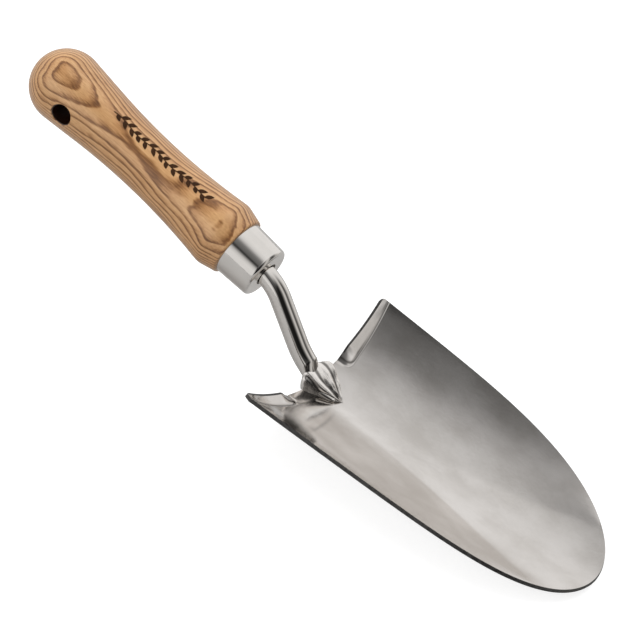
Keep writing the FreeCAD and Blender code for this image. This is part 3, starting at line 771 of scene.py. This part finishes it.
FLOOR_SIZE = 6.0
FLOOR_DROP = 0.05
FLOOR_GLOW = 0.78
LIT_PLACE = (0.0, 0.0, 0.03)
SOFTBOX_SIZE = (1.6, 1.2)
CAMERA_PLACE = (396.045, -828.055, 792.644)
CAMERA_TURN = (48.8228, -14.3324, 37.464)
CAMERA_LENS = 162.0
SENSOR_WIDTH = 36.0


def make_camera():
    data = bpy.data.cameras.new("photo_camera")
    data.lens = CAMERA_LENS
    data.sensor_width = SENSOR_WIDTH
    data.clip_start = 0.05
    data.clip_end = 30.0
    camera = bpy.data.objects.new("photo_camera", data)
    camera.location = Vector(CAMERA_PLACE) * MM
    camera.rotation_euler = Euler([math.radians(angle) for angle in CAMERA_TURN])
    bpy.context.scene.collection.objects.link(camera)
    bpy.context.scene.camera = camera


def make_floor():
    mesh = bpy.data.meshes.new("floor")
    corners = [(x * FLOOR_SIZE, y * FLOOR_SIZE, 0) for x, y in ((-1, -1), (1, -1), (1, 1), (-1, 1))]
    mesh.from_pydata(corners, [], [(0, 1, 2, 3)])
    mesh.materials.append(floor_material())
    floor = bpy.data.objects.new("floor", mesh)
    floor.location.z = -FLOOR_DROP * MM
    bpy.context.scene.collection.objects.link(floor)


def area_light(name, place, size, power):
    """A soft box that faces the trowel and doesn't show in the steel."""
    data = bpy.data.lights.new(name, "AREA")
    data.shape = "RECTANGLE"
    data.size, data.size_y = size
    data.energy = power
    light = bpy.data.objects.new(name, data)
    light.location = place
    facing = Vector(LIT_PLACE) - Vector(place)
    light.rotation_euler = facing.to_track_quat("-Z", "Y").to_euler()
    light.visible_glossy = False
    bpy.context.scene.collection.objects.link(light)


# How bright the room is. Over the handle it changes with the angle from SWEEP_AXIS: light, then
# the dark place where the camera stands, then light again beyond the trowel. In front of the
# blade it changes from one side to the other. Each pair is a cosine and the brightness there.
SWEEP_AXIS = (0.593, 0.541, 0.595)
OVER_HANDLE = [
    (-0.35, 0.82), (-0.20, 0.65), (-0.13, 0.45), (-0.06, 0.20), (0.0, 0.045),
    (0.06, 0.055), (0.12, 0.13), (0.22, 0.16), (0.32, 0.20), (0.38, 0.29),
    (0.44, 0.48), (0.53, 0.72), (0.65, 0.84),
]
IN_FRONT = [
    (-1.0, 0.03), (-0.95, 0.015), (-0.45, 0.01), (-0.30, 0.06), (-0.12, 0.30), (0.02, 0.62),
    (0.20, 0.58), (0.36, 0.12), (0.55, 0.10), (0.75, 0.50), (0.97, 0.80),
]
# Where each glow starts and is full, as cosines, and how bright it is there.
BEYOND_GLOW = (0.30, 0.75, 0.86)
BEHIND_GLOW = (-0.34, -0.54, 0.74)
FRONT_SHARE = (0.15, 0.60, 1.0)
ROOM_TINT = (1.0, 0.985, 0.965)


def make_room():
    """The studio round the trowel, which the steel reflects."""
    world = bpy.data.worlds.new("studio")
    bpy.context.scene.world = world
    world.use_nodes = True
    tree = world.node_tree
    links = tree.links

    def add(kind, inputs=(), **settings):
        made = tree.nodes.new(kind)
        for key, value in settings.items():
            setattr(made, key, value)
        for key, value in dict(inputs).items():
            if isinstance(value, bpy.types.NodeSocket):
                links.new(value, made.inputs[key])
            else:
                made.inputs[key].default_value = value
        return made

    def ramp(cosine, stops):
        place = add("ShaderNodeMapRange", {0: cosine, 1: -1.0}).outputs[0]
        made = add("ShaderNodeValToRGB", {0: place})
        elements = made.color_ramp.elements
        while len(elements) < len(stops):
            elements.new(0.5)
        for element, (place, level) in zip(elements, stops):
            element.position = (place + 1) / 2
            element.color = (*(level * part for part in ROOM_TINT), 1.0)
        return made.outputs["Color"]

    def glow(cosine, start, full, level):
        return add("ShaderNodeMapRange", {0: cosine, 1: start, 2: full, 4: level},
                   interpolation_type="SMOOTHSTEP").outputs[0]

    def most(a, b):
        return add("ShaderNodeMath", {0: a, 1: b}, operation="MAXIMUM").outputs[0]

    direction = add("ShaderNodeTexCoord").outputs["Generated"]
    axes = add("ShaderNodeSeparateXYZ", {0: direction})
    sweep = add("ShaderNodeVectorMath", {0: direction, 1: SWEEP_AXIS}, operation="DOT_PRODUCT")
    beyond = glow(axes.outputs["Y"], *BEYOND_GLOW)
    behind = glow(axes.outputs["X"], *BEHIND_GLOW)
    over = most(ramp(sweep.outputs["Value"], OVER_HANDLE), most(beyond, behind))
    ahead = ramp(axes.outputs["Y"], IN_FRONT)
    front = glow(axes.outputs["X"], *FRONT_SHARE)
    room = add("ShaderNodeMix", {0: front, 6: over, 7: ahead}, data_type="RGBA")
    seen = add("ShaderNodeLightPath").outputs["Is Camera Ray"]
    pick = add("ShaderNodeMix", {0: seen, 6: room.outputs[2], 7: (1.0,) * 4}, data_type="RGBA")
    links.new(pick.outputs[2], tree.nodes["Background"].inputs["Color"])


# ---------------------------------------------------------------- making

make_camera()
make_floor()
make_room()
area_light("top_softbox", (-0.15, 0.55, 1.35), SOFTBOX_SIZE, 12.0)
area_light("side_softbox", (-0.35, -1.25, 0.75), SOFTBOX_SIZE, 9.0)

for name, material in (
    ("handle", ash_material()),
    ("ferrule", polished_steel("polished_ferrule", MIRROR_TINT, 0.05, 0.10)),
    ("tang_adhesive", adhesive_material()),
):
    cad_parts[name].data.materials.clear()
    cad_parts[name].data.materials.append(material)

make_blade(brushed_blade(), edge_shade_steel())
make_neck(polished_steel("polished_neck", MIRROR_TINT, 0.02, 0.05))
make_weld(polished_steel("polished_weld", WELD_TINT, 0.18, 0.26, ripple=0.15))
make_mark(burnt_material())

bpy.context.scene.view_settings.view_transform = "Standard"
